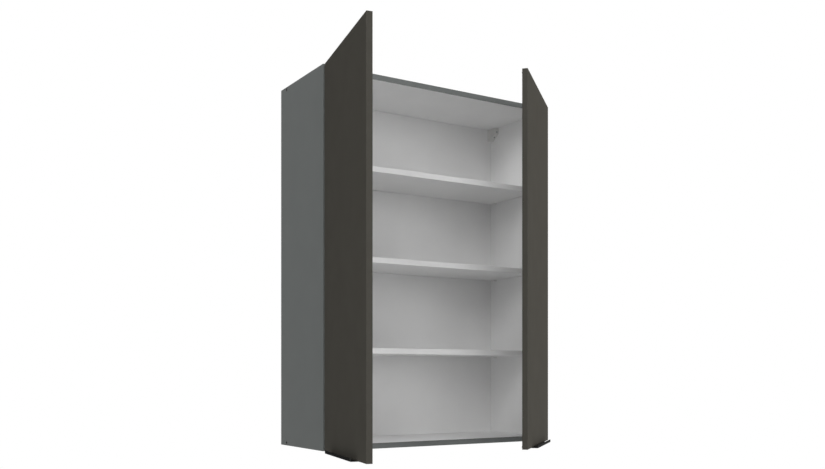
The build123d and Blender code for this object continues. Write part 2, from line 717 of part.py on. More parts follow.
def door_panel():
    """Door board inside its edge bands, bored for the hinge cups and drilled for screws."""
    board = block((DOOR_EDGE_X + EDGE_T, DOOR_FREE_X - EDGE_T), (DOOR_FRONT_Y, DOOR_BACK_Y),
                  (DOOR_END_REVEAL + EDGE_T, DOOR_TOP_Z - EDGE_T))
    cutters = [handle_screw_hole(place) for place in handle_screw_places()]
    pilot = FLANGE_T + WOOD_SCREW_LENGTH + DRILL_OVER
    for z in HINGE_HEIGHTS.values():
        cutters.append(cup_disc(CUP_R + FIT, DOOR_BACK_Y, CUP_DEPTH + FIT, z))
        cutters += [rod(WOOD_SCREW_R + FIT, pilot, place, TO_FRONT) for place in cup_screw_places(z)]
    return board - cutters


def door_edge_bands():
    """Bands round the door: two full-height uprights and two between them."""
    ys = (DOOR_FRONT_Y, DOOR_BACK_Y)
    zs = (DOOR_END_REVEAL, DOOR_TOP_Z)
    inner_x = (DOOR_EDGE_X + EDGE_T, DOOR_FREE_X - EDGE_T)
    return [
        rounded_strip((DOOR_EDGE_X, inner_x[0]), ys, zs, Axis.Z, lambda edges: edges.sort_by(Axis.X)[:2]),
        rounded_strip((inner_x[1], DOOR_FREE_X), ys, zs, Axis.Z, lambda edges: edges.sort_by(Axis.X)[-2:]),
        rounded_strip(inner_x, ys, (zs[0], zs[0] + EDGE_T), Axis.X, lambda edges: edges.sort_by(Axis.Z)[:2]),
        rounded_strip(inner_x, ys, (zs[1] - EDGE_T, zs[1]), Axis.X, lambda edges: edges.sort_by(Axis.Z)[-2:]),
    ]


def handle():
    """Extruded profile: a leg behind the door, a plate under its edge and a lip that turns up in front."""
    rear_y = DOOR_BACK_Y + HANDLE_LEG_T
    nose_y = DOOR_FRONT_Y - HANDLE_REACH
    base_z = DOOR_END_REVEAL - HANDLE_PLATE_T
    middle = (DOOR_EDGE_X + DOOR_FREE_X) / 2
    leg_top = DOOR_END_REVEAL + HANDLE_LEG_H
    lip_top = base_z + HANDLE_LIP_H
    lip_y = nose_y + HANDLE_LIP_T
    outline = make_face(Plane.YZ * Polyline(
        (rear_y, base_z), (rear_y, leg_top), (DOOR_BACK_Y, leg_top), (DOOR_BACK_Y, DOOR_END_REVEAL),
        (lip_y, DOOR_END_REVEAL), (lip_y, lip_top), (nose_y, lip_top), (nose_y, base_z), close=True))
    bar = Pos(middle, 0, 0) * extrude(outline, HANDLE_LENGTH / 2, both=True)
    bend = bar.edges().filter_by(Axis.X).group_by(Axis.Y)[0].sort_by(Axis.Z)[0]
    bar = fillet(bend, HANDLE_BEND_R)
    lip = bar.edges().filter_by(Axis.X).filter_by_position(Axis.Z, lip_top, lip_top)
    bar = fillet(lip, HANDLE_LIP_ROUND)
    return bar - [handle_screw_hole(place) for place in handle_screw_places()]


def bumper(z):
    """Soft stop on the door's back face, near its free edge."""
    place = (DOOR_FREE_X - BUMPER_INSET, DOOR_BACK_Y, z)
    return turned(
        [(0, 0), (BUMPER_R, 0), (BUMPER_R, BUMPER_T / 2), (BUMPER_R * CROWN, BUMPER_T), (0, BUMPER_T)],
        place, ALONG_Y,
    )


def hang(pieces, side):
    """Left-door pieces swung open on the left hinge, or mirrored and swung open on the right one."""
    axis_x = PIVOT_X if side == "left" else -PIVOT_X
    axis = Axis((axis_x, PIVOT_Y, 0), ALONG_Z)
    if side == "left":
        return [piece.rotate(axis, -LEFT_OPEN) for piece in pieces]
    return [mirror(piece, about=MIRROR).rotate(axis, RIGHT_OPEN) for piece in pieces]


def on_side(pieces, side):
    """Left-hand pieces, or their mirror images for the right."""
    return list(pieces) if side == "left" else [mirror(piece, about=MIRROR) for piece in pieces]


def build():
    """Every node of the cabinet: name to list of solids."""
    heights = HINGE_HEIGHTS.values()
    plate_screw_length = PLATE_WING_T + EURO_SCREW_LENGTH
    nodes = {
        "left_side": [left_side()],
        "right_side": on_side([left_side()], "right"),
        "top_panel": [level_board(CEILING_Z, -1)],
        "bottom_panel": [level_board(0.0, 1)],
        "back_panel": [back_panel()],
        "carcass_edge_bands": carcass_edge_bands(),
        "shelf_edge_bands": [shelf_edge_band(z) for z in SHELF_UNDERSIDES],
        "shelf_pins": both_sides([shelf_pin(place) for place in shelf_pin_places()]),
        "carcass_screws": both_sides([carcass_screw(place) for place in carcass_screw_places()]),
        "dowels": both_sides([dowel(place) for place in dowel_places()]),
        "cam_bolts": both_sides([cam_bolt(place) for place in cam_places()]),
        "cams": both_sides([cam(place) for place in cam_places()]),
    }
    for name, z in zip(SHELF_NAMES, SHELF_UNDERSIDES):
        nodes[name] = [shelf(z)]
    bumper_heights = (BOARD_T / 2, CARCASS_H - BOARD_T / 2)
    for side in ("left", "right"):
        nodes[f"{side}_hanger_body"] = on_side([hanger_body()], side)
        nodes[f"{side}_hanger_hook"] = on_side([hanger_hook()], side)
        nodes[f"{side}_hanger_adjusters"] = on_side(hanger_adjusters(), side)
        nodes[f"{side}_door_panel"] = hang([door_panel()], side)
        nodes[f"{side}_door_edge_bands"] = hang(door_edge_bands(), side)
        nodes[f"{side}_door_bumpers"] = hang([bumper(z) for z in bumper_heights], side)
        nodes[f"{side}_handle"] = hang([handle()], side)
        nodes[f"{side}_handle_screws"] = hang([handle_screw(place) for place in handle_screw_places()], side)
        nodes[f"{side}_hinge_pins"] = hang([hinge_pin(z) for z in heights], side)
        nodes[f"{side}_hinge_springs"] = hang([hinge_spring(z) for z in heights], side)
        nodes[f"{side}_cup_screws"] = hang(
            [cup_screw(place) for z in heights for place in cup_screw_places(z)], side)
        nodes[f"{side}_plate_screws"] = on_side(
            [euro_screw(place, plate_screw_length) for place in plate_screw_places()], side)
        nodes[f"{side}_arm_screws"] = on_side([screw for z in heights for screw in arm_screws(z)], side)
        for level, z in HINGE_HEIGHTS.items():
            nodes[f"{side}_{level}_hinge_cup"] = hang([hinge_cup(z)], side)
            nodes[f"{side}_{level}_hinge_arm"] = on_side([hinge_arm(z)], side)
            nodes[f"{side}_{level}_hinge_plate"] = on_side([hinge_plate(z)], side)
    return nodes


def main():
    os.makedirs("parts", exist_ok=True)
    for name, solids in build().items():
        shape = solids[0] if len(solids) == 1 else Compound(children=solids)
        export_step(shape, f"parts/{name}.step")


main()
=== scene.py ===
"""Wall cabinet with two open doors: finishes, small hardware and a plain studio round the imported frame.

Lengths are metres in the frame's own axes: X to the right, Y towards the wall, Z up.
"""

import math

import bmesh
import bpy
import numpy as np
from mathutils import Euler, Matrix, Vector


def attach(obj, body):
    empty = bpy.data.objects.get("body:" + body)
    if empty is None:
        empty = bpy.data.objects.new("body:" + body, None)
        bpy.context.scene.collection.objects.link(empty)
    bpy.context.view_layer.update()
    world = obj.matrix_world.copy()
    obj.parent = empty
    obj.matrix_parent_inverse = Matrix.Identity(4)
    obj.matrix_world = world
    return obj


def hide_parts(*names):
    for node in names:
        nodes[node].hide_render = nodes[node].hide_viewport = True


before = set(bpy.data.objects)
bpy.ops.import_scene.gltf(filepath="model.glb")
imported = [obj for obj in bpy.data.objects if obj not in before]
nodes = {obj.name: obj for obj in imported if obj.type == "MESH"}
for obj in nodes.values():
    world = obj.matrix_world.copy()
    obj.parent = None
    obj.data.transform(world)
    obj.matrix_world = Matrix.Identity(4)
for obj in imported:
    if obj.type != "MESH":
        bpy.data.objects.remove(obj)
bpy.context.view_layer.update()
scene = bpy.context.scene
scene.view_settings.view_transform = "Standard"

MM = 0.001
SIDES = ("left", "right")
LEVELS = ("bottom", "middle", "top")
SHELVES = ("lower_shelf", "middle_shelf", "upper_shelf")
RIGHT = Vector((1.0, 0.0, 0.0))
REARWARDS = Vector((0.0, 1.0, 0.0))
UP = Vector((0.0, 0.0, 1.0))

# Vertices this near are one; faces this near a board's outermost one belong to it
WELD = 0.005 * MM
FACE_LIMIT = 0.05 * MM
# Faces that meet at less than the first angle are one plane, at more than the second a sharp edge
FLAT = math.radians(0.5)
SHARP = math.radians(35.0)

# Doors at rest: how far each is turned from closed about the upward axis, and the way into its back face
DOOR_TURN = {"left": math.radians(-102.0), "right": math.radians(41.5)}
INTO_DOOR = {
    side: Matrix.Rotation(turn, 3, UP) @ -REARWARDS for side, turn in DOOR_TURN.items()
}
# The way into the wood of each side, seen from inside the carcass
INTO_SIDE = {"left": -RIGHT, "right": RIGHT}

# Camera: the photograph's viewpoint, level, with the frame shifted up
CAMERA_PLACE = (-1.5293, -2.5761, 0.2160)
CAMERA_YAW = math.radians(31.87)
CAMERA_LENS = 39.78
CAMERA_SENSOR = 36.0
CAMERA_SHIFT_Y = 0.1688

# Floor: below the cabinet's foot, partly white to the eye below it and wholly white further out
FLOOR_DROP = 1.4
FLOOR_RADIUS = 9.0
FLOOR_SEGMENTS = 96
FLOOR_WHITE = 0.6
FLOOR_FADE_START = 2.0
FLOOR_FADE_END = 6.0

# Light that the surround itself gives
SURROUND_STRENGTH = 0.05

# Lamps: a ring of large soft discs, by bearing from straight in front, height angle and watts
LAMP_AIM = Vector((0.0, -0.2, 0.55))
LAMP_DISTANCE = 10.0
LAMP_SIZE = 5.0
LAMPS = {
    "left": (-88.0, 12.0, 180.0),
    "high_left": (-60.0, 28.0, 256.0),
    "key": (-35.0, 28.0, 212.0),
    "low_key": (-35.0, 8.0, 71.0),
    "front": (-10.0, 8.0, 145.0),
    "fill": (45.0, 8.0, 330.0),
    "right": (80.0, 12.0, 430.0),
    "top": (0.0, 60.0, 232.0),
    "rear": (170.0, 25.0, 260.0),
}

# Sizes of the finishes' patterns, in millimetres
DECOR_CLOUD = 70.0
BAND_CLOUD = 25.0
SCRAPER_MARK = 1.2
SAW_DUST = 0.9
CHIP = 1.7
CHIP_TEAR = 2.0
FIBRE = 3.0
MOULD_GRAIN = 0.8
RUBBER_HAZE = 1.5
BEECH_RAY = 0.7
# Scale along the brush or the grain as a share of that across it: a small share draws the pattern out
BRUSHED_SHARE = 0.02
BEECH_SHARE = 0.15
# Where in a pattern the darker and the lighter tint set in
TINTS = (0.3, 0.7)
CHIP_TINTS = (0.22, 0.8)
# How far the roughness of a finish wanders either way
PITTED_SPREAD = 0.06
BRUSHED_SPREAD = 0.08
PLATED_SPREAD = 0.03
# Specular level of the matt decors and their bands, and of the velvet door faces
MATT = 0.05
VELVET = 0.0

# How far the edges of the hardware are rounded over, and in how many steps
STAMPED_EDGE = 0.25 * MM
EXTRUDED_EDGE = 0.25 * MM
CAST_EDGE = 0.3 * MM
MOULDED_EDGE = 0.8 * MM
EDGE_STEPS = 2

# Screws: steps round and over the head and round the shank, and how full the crown is
HEAD_SEGMENTS = 32
HEAD_RINGS = 16
SHANK_SEGMENTS = 24
CROWN_POWER = 0.6
# The cross recess, in head radii; every third corner is an inner one, drawn in to a share of its reach
RECESS_MOUTH = 0.68
RECESS_FLOOR = 0.5
RECESS_CORNERS = 12
INNER_CORNER_EVERY = 3
INNER_CORNER_SHARE = 0.366
EURO_SCREW = {
    "Head radius": 3.6 * MM, "Head height": 1.8 * MM, "Cone depth": 0.0,
    "Shank radius": 2.5 * MM, "Recess depth": 1.2 * MM, "Seed": 1,
}
WOOD_SCREW = {
    "Head radius": 3.3 * MM, "Head height": 1.6 * MM, "Cone depth": 0.0,
    "Shank radius": 1.75 * MM, "Recess depth": 1.1 * MM, "Seed": 2,
}
FLUSH_SCREW = {
    "Head radius": 3.2 * MM, "Head height": 0.3 * MM, "Cone depth": 3.2 * MM,
    "Shank radius": 1.75 * MM, "Recess depth": 1.0 * MM, "Seed": 3,
}


def linear(colour):
    """Linear RGBA of an sRGB hex colour."""
    values = [int(colour[i:i + 2], 16) / 255 for i in (1, 3, 5)]
    return [v / 12.92 if v <= 0.04045 else ((v + 0.055) / 1.055) ** 2.4 for v in values] + [1.0]


def add(tree, kind, inputs=None, stops=(), **settings):
    """Adds a node: settings are its own attributes, inputs are values or other nodes' outputs by socket,
    and stops are the places and hex colours of a colour ramp."""
    node = tree.nodes.new(kind)
    for name, value in settings.items():
        setattr(node, name, value)
    for index, (place, colour) in enumerate(stops):
        node.color_ramp.elements[index].position = place
        node.color_ramp.elements[index].color = linear(colour)
    for socket, value in (inputs or {}).items():
        if isinstance(value, bpy.types.NodeSocket):
            tree.links.new(value, node.inputs[socket])
        else:
            node.inputs[socket].default_value = value
    return node


def start_material(name):
    """New material with its node tree, its Principled shader and Object coordinates."""
    material = bpy.data.materials.new(name)
    material.use_nodes = True
    tree = material.node_tree
    place = add(tree, "ShaderNodeTexCoord").outputs["Object"]
    return material, tree, tree.nodes["Principled BSDF"], place


def per_metre(size_mm):
    """Texture scale that gives a pattern cells of this size."""
    return 1.0 / (size_mm * MM)


def laminate(name, dark, light, roughness, grain_mm, relief_mm, specular):
    """Decor paper under melamine resin, pressed against a finely pitted plate: an even colour with a
    soft, broken sheen. The pits are about half a millimetre and are drawn coarser, so that they show."""
    material, tree, shader, place = start_material(name)
    cloud = add(tree, "ShaderNodeTexNoise", {
        "Vector": place, "Scale": per_metre(DECOR_CLOUD), "Detail": 3.0})
    pits = add(tree, "ShaderNodeTexNoise", {
        "Vector": place, "Scale": per_metre(grain_mm), "Detail": 2.0})
    decor = add(tree, "ShaderNodeValToRGB", {"Fac": cloud.outputs["Fac"]}, zip(TINTS, (dark, light)))
    tree.links.new(decor.outputs["Color"], shader.inputs["Base Color"])
    sheen = add(tree, "ShaderNodeMapRange", {
        "Value": pits.outputs["Fac"],
        "To Min": roughness - PITTED_SPREAD, "To Max": roughness + PITTED_SPREAD})
    tree.links.new(sheen.outputs["Result"], shader.inputs["Roughness"])
    bump = add(tree, "ShaderNodeBump", {
        "Height": pits.outputs["Fac"], "Strength": 0.25, "Distance": relief_mm * MM})
    tree.links.new(bump.outputs["Normal"], shader.inputs["Normal"])
    shader.inputs["Specular IOR Level"].default_value = specular
    return material


def edge_band(name, dark, light, roughness):
    """Extruded ABS band, trimmed and scraped after gluing: near the board's colour, a little smoother,
    with faint scraper marks on it. Its tints stand a little apart from the board's: partly the band's own
    tone, partly painted shade and light that set the tone of the front-facing edges."""
    material, tree, shader, place = start_material(name)
    cloud = add(tree, "ShaderNodeTexNoise", {
        "Vector": place, "Scale": per_metre(BAND_CLOUD), "Detail": 2.0})
    marks = add(tree, "ShaderNodeTexNoise", {
        "Vector": place, "Scale": per_metre(SCRAPER_MARK), "Detail": 1.0})
    decor = add(tree, "ShaderNodeValToRGB", {"Fac": cloud.outputs["Fac"]}, zip(TINTS, (dark, light)))
    tree.links.new(decor.outputs["Color"], shader.inputs["Base Color"])
    bump = add(tree, "ShaderNodeBump", {
        "Height": marks.outputs["Fac"], "Strength": 0.15, "Distance": 0.05 * MM})
    tree.links.new(bump.outputs["Normal"], shader.inputs["Normal"])
    shader.inputs["Roughness"].default_value = roughness
    shader.inputs["Specular IOR Level"].default_value = MATT
    return material


def chipboard_core():
    """Pressed wood chips seen on a sawn edge: tan flakes of one to two millimetres, torn by the saw, with
    fine dust between them."""
    material, tree, shader, place = start_material("sawn_chipboard")
    dust = add(tree, "ShaderNodeTexNoise", {
        "Vector": place, "Scale": per_metre(SAW_DUST), "Detail": 4.0})
    torn = add(tree, "ShaderNodeVectorMath", {
        0: dust.outputs["Color"], "Scale": CHIP_TEAR * MM}, operation="SCALE")
    ragged = add(tree, "ShaderNodeVectorMath", {
        0: place, 1: torn.outputs["Vector"]}, operation="ADD")
    flakes = add(tree, "ShaderNodeTexVoronoi", {
        "Vector": ragged.outputs["Vector"], "Scale": per_metre(CHIP)})
    chip = add(tree, "ShaderNodeSeparateColor", {"Color": flakes.outputs["Color"]})
    tone = add(tree, "ShaderNodeMath", {
        0: chip.outputs["Red"], 1: dust.outputs["Fac"]}, operation="ADD")
    share = add(tree, "ShaderNodeMath", {0: tone.outputs["Value"], 1: 0.5}, operation="MULTIPLY")
    wood = add(tree, "ShaderNodeValToRGB", {"Fac": share.outputs["Value"]},
               zip(CHIP_TINTS, ("#94764F", "#C6AB84")))
    tree.links.new(wood.outputs["Color"], shader.inputs["Base Color"])
    bump = add(tree, "ShaderNodeBump", {
        "Height": tone.outputs["Value"], "Strength": 0.4, "Distance": 0.3 * MM})
    tree.links.new(bump.outputs["Normal"], shader.inputs["Normal"])
    shader.inputs["Roughness"].default_value = 0.85
    return material


def hardboard():
    """Bare rear face of thin fibreboard: brown felted fibres with a fine screen texture."""
    material, tree, shader, place = start_material("bare_fibreboard")
    fibres = add(tree, "ShaderNodeTexNoise", {
        "Vector": place, "Scale": per_metre(FIBRE), "Detail": 6.0})
    felt = add(tree, "ShaderNodeValToRGB", {"Fac": fibres.outputs["Fac"]},
               zip(TINTS, ("#7A6047", "#997B5A")))
    tree.links.new(felt.outputs["Color"], shader.inputs["Base Color"])
    bump = add(tree, "ShaderNodeBump", {
        "Height": fibres.outputs["Fac"], "Strength": 0.4, "Distance": 0.3 * MM})
    tree.links.new(bump.outputs["Normal"], shader.inputs["Normal"])
    shader.inputs["Roughness"].default_value = 0.8
    return material


def brushed_metal(name, dark, light, edge, roughness, grain_mm, turn):
    """Metal drawn through a brush along X before its finish: fine lengthwise lines in its sheen. Turn sets
    the lines along a piece that hangs on an open door."""
    material, tree, shader, place = start_material(name)
    turned = add(tree, "ShaderNodeMapping", {"Vector": place, "Rotation": (0.0, 0.0, -turn)})
    along = add(tree, "ShaderNodeMapping", {
        "Vector": turned.outputs["Vector"], "Scale": (BRUSHED_SHARE, 1.0, 1.0)})
    lines = add(tree, "ShaderNodeTexNoise", {
        "Vector": along.outputs["Vector"], "Scale": per_metre(grain_mm), "Detail": 3.0})
    tint = add(tree, "ShaderNodeValToRGB", {"Fac": lines.outputs["Fac"]}, zip(TINTS, (dark, light)))
    tree.links.new(tint.outputs["Color"], shader.inputs["Base Color"])
    sheen = add(tree, "ShaderNodeMapRange", {
        "Value": lines.outputs["Fac"],
        "To Min": roughness - BRUSHED_SPREAD, "To Max": roughness + BRUSHED_SPREAD})
    tree.links.new(sheen.outputs["Result"], shader.inputs["Roughness"])
    shader.inputs["Metallic"].default_value = 1.0
    shader.inputs["Specular Tint"].default_value = linear(edge)
    return material


def plated_steel(name, dark, light, roughness, cell_mm):
    """Stamped steel with a thin electroplated coat: a metal whose sheen the plating clouds a little."""
    material, tree, shader, place = start_material(name)
    cloud = add(tree, "ShaderNodeTexNoise", {
        "Vector": place, "Scale": per_metre(cell_mm), "Detail": 3.0})
    tint = add(tree, "ShaderNodeValToRGB", {"Fac": cloud.outputs["Fac"]}, zip(TINTS, (dark, light)))
    tree.links.new(tint.outputs["Color"], shader.inputs["Base Color"])
    sheen = add(tree, "ShaderNodeMapRange", {
        "Value": cloud.outputs["Fac"],
        "To Min": roughness - PLATED_SPREAD, "To Max": roughness + PLATED_SPREAD})
    tree.links.new(sheen.outputs["Result"], shader.inputs["Roughness"])
    shader.inputs["Metallic"].default_value = 1.0
    return material


def moulded_plastic():
    """Injection-moulded white polyamide with a spark-eroded finish: fine even grain and a dull sheen."""
    material, tree, shader, place = start_material("moulded_white_polyamide")
    grain = add(tree, "ShaderNodeTexNoise", {
        "Vector": place, "Scale": per_metre(MOULD_GRAIN), "Detail": 2.0})
    tint = add(tree, "ShaderNodeValToRGB", {"Fac": grain.outputs["Fac"]},
               zip(TINTS, ("#DBDBD9", "#E1E1DF")))
    tree.links.new(tint.outputs["Color"], shader.inputs["Base Color"])
    bump = add(tree, "ShaderNodeBump", {
        "Height": grain.outputs["Fac"], "Strength": 0.3, "Distance": 0.08 * MM})
    tree.links.new(bump.outputs["Normal"], shader.inputs["Normal"])
    shader.inputs["Roughness"].default_value = 0.5
    return material


def clear_rubber():
    """Cast clear polyurethane: see-through, soft-edged highlights, faintly milky."""
    material, tree, shader, place = start_material("clear_polyurethane")
    haze = add(tree, "ShaderNodeTexNoise", {
        "Vector": place, "Scale": per_metre(RUBBER_HAZE), "Detail": 2.0})
    tint = add(tree, "ShaderNodeValToRGB", {"Fac": haze.outputs["Fac"]},
               zip(TINTS, ("#DEDEDA", "#F2F2EE")))
    tree.links.new(tint.outputs["Color"], shader.inputs["Base Color"])
    shader.inputs["Roughness"].default_value = 0.25
    shader.inputs["IOR"].default_value = 1.5
    shader.inputs["Transmission Weight"].default_value = 0.8
    return material


def beech():
    """Turned beech: pale pinkish wood with short darker rays along the grain, which runs along X."""
    material, tree, shader, place = start_material("turned_beech")
    along = add(tree, "ShaderNodeMapping", {"Vector": place, "Scale": (BEECH_SHARE, 1.0, 1.0)})
    grain = add(tree, "ShaderNodeTexNoise", {
        "Vector": along.outputs["Vector"], "Scale": per_metre(BEECH_RAY), "Detail": 4.0})
    wood = add(tree, "ShaderNodeValToRGB", {"Fac": grain.outputs["Fac"]},
               zip(TINTS, ("#B08A63", "#D3B28B")))
    tree.links.new(wood.outputs["Color"], shader.inputs["Base Color"])
    shader.inputs["Roughness"].default_value = 0.6
    return material


FINISH = {
    "grey": laminate("grey_melamine", "#5E6160", "#606362",
                     roughness=0.5, grain_mm=1.6, relief_mm=0.08, specular=MATT),
    "white": laminate("white_melamine", "#EEEEEE", "#F0F0F0",
                      roughness=0.5, grain_mm=1.6, relief_mm=0.08, specular=MATT),
    "door": laminate("graphite_matt_laminate", "#474540", "#494742",
                     roughness=0.6, grain_mm=1.2, relief_mm=0.05, specular=VELVET),
    # Each band's tints stand a little apart from its board's: partly the band's own tone, partly painted
    # shade and light on the front-facing edges
    "grey_edge": edge_band("grey_edge_band", "#636665", "#666968", roughness=0.42),
    "white_edge": edge_band("white_edge_band", "#EAEAEA", "#EDEDED", roughness=0.42),
    "door_edge": edge_band("graphite_edge_band", "#413F3A", "#43413C", roughness=0.5),
    "chipboard": chipboard_core(),
    "hardboard": hardboard(),
    "nickel": plated_steel("nickel_plated_steel", "#C6C2BA", "#CFCBC3", roughness=0.36, cell_mm=3.0),
    "zinc": plated_steel("zinc_plated_steel", "#9B9EA1", "#B4B7BA", roughness=0.4, cell_mm=4.0),
    "dark_steel": plated_steel("black_passivated_steel", "#1B1B1C", "#29292A",
                               roughness=0.45, cell_mm=3.0),
    "plastic": moulded_plastic(),
    "rubber": clear_rubber(),
    "beech": beech(),
}
for side in SIDES:
    FINISH[f"{side}_aluminium"] = brushed_metal(
        f"black_anodised_aluminium_{side}", "#363636", "#434343", edge="#747474",
        roughness=0.45, grain_mm=0.5, turn=DOOR_TURN[side])


def finish_node(node, finish):
    """Gives all of a CAD node one finish."""
    nodes[node].data.materials.clear()
    nodes[node].data.materials.append(FINISH[finish])


def finish_board(node, axis, high, low):
    """Finishes of the face furthest along the axis and of the opposite one; bare chips elsewhere."""
    mesh = nodes[node].data
    mesh.materials.clear()
    for name in (high, low, "chipboard"):
        mesh.materials.append(FINISH[name])
    heights = [polygon.center.dot(axis) for polygon in mesh.polygons]
    highest = max(heights) - FACE_LIMIT
    lowest = min(heights) + FACE_LIMIT
    for polygon, height in zip(mesh.polygons, heights):
        if height > highest:
            polygon.material_index = 0
        elif height < lowest:
            polygon.material_index = 1
        else:
            polygon.material_index = 2


finish_board("left_side", -RIGHT, "grey", "white")
finish_board("right_side", RIGHT, "grey", "white")
finish_board("top_panel", UP, "grey", "white")
finish_board("bottom_panel", -UP, "grey", "white")
finish_board("back_panel", REARWARDS, "hardboard", "white")
for shelf in SHELVES:
    finish_board(shelf, UP, "white", "white")
for side in SIDES:
    finish_board(f"{side}_door_panel", INTO_DOOR[side], "door", "door")
finish_node("carcass_edge_bands", "grey_edge")
finish_node("shelf_edge_bands", "white_edge")
finish_node("shelf_pins", "plastic")
finish_node("carcass_screws", "dark_steel")
finish_node("dowels", "beech")
finish_node("cam_bolts", "zinc")
for side in SIDES:
    finish_node(f"{side}_hanger_adjusters", "zinc")
    finish_node(f"{side}_door_edge_bands", "door_edge")
    finish_node(f"{side}_door_bumpers", "rubber")
    finish_node(f"{side}_hinge_pins", "nickel")
    finish_node(f"{side}_hinge_springs", "nickel")


def merged_copy(node):
    """The CAD node's solids with their loose triangles joined, to be freed by the caller."""
    shape = bmesh.new()
    shape.from_mesh(nodes[node].data)
    bmesh.ops.remove_doubles(shape, verts=shape.verts, dist=WELD)
    return shape


def settle(obj):
    """Turns what the piece's modifiers make into its plain mesh."""
    shown = obj.evaluated_get(bpy.context.evaluated_depsgraph_get())
    obj.data = bpy.data.meshes.new_from_object(shown)
    obj.modifiers.clear()


def rounded(node, body, finish, edge):
    """Stands for a CAD node: its solids with every sharp edge rounded over, as tumbling, a die or a
    mould leaves it."""
    shape = merged_copy(node)
    bmesh.ops.dissolve_limit(shape, angle_limit=FLAT, verts=shape.verts, edges=shape.edges)
    mesh = bpy.data.meshes.new(f"{node}_rounded")
    shape.to_mesh(mesh)
    shape.free()
    mesh.materials.append(FINISH[finish])
    mesh.shade_smooth()
    obj = bpy.data.objects.new(f"{node}_rounded", mesh)
    scene.collection.objects.link(obj)
    bevel = obj.modifiers.new("edges", "BEVEL")
    bevel.width = edge
    bevel.segments = EDGE_STEPS
    bevel.limit_method = "ANGLE"
    bevel.angle_limit = SHARP
    obj.modifiers.new("flat faces", "WEIGHTED_NORMAL")
    settle(obj)
    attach(obj, body)
    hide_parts(node)


rounded("cams", "carcass", "zinc", CAST_EDGE)
for side in SIDES:
    rounded(f"{side}_hanger_body", "carcass", "plastic", MOULDED_EDGE)
    rounded(f"{side}_hanger_hook", f"{side}_hook", "zinc", STAMPED_EDGE)
    rounded(f"{side}_handle", f"{side}_door", f"{side}_aluminium", EXTRUDED_EDGE)
    for level in LEVELS:
        hinge = f"{side}_{level}_hinge"
        rounded(f"{hinge}_cup", f"{side}_door", "nickel", STAMPED_EDGE)
        rounded(f"{hinge}_arm", "carcass", "nickel", STAMPED_EDGE)
        rounded(f"{hinge}_plate", "carcass", "nickel", STAMPED_EDGE)


def loose_parts(node):
    """Vertices of each separate solid of a CAD node, as arrays, in the same order in every run."""
    shape = merged_copy(node)
    for vert in shape.verts:
        vert.tag = False
    parts = []
    for first in shape.verts:
        if first.tag:
            continue
        first.tag = True
        grown = [first]
        for vert in grown:
            for edge in vert.link_edges:
                other = edge.other_vert(vert)
                if not other.tag:
                    other.tag = True
                    grown.append(other)
        parts.append(np.array([vert.co for vert in grown]))
    shape.free()
    return parts


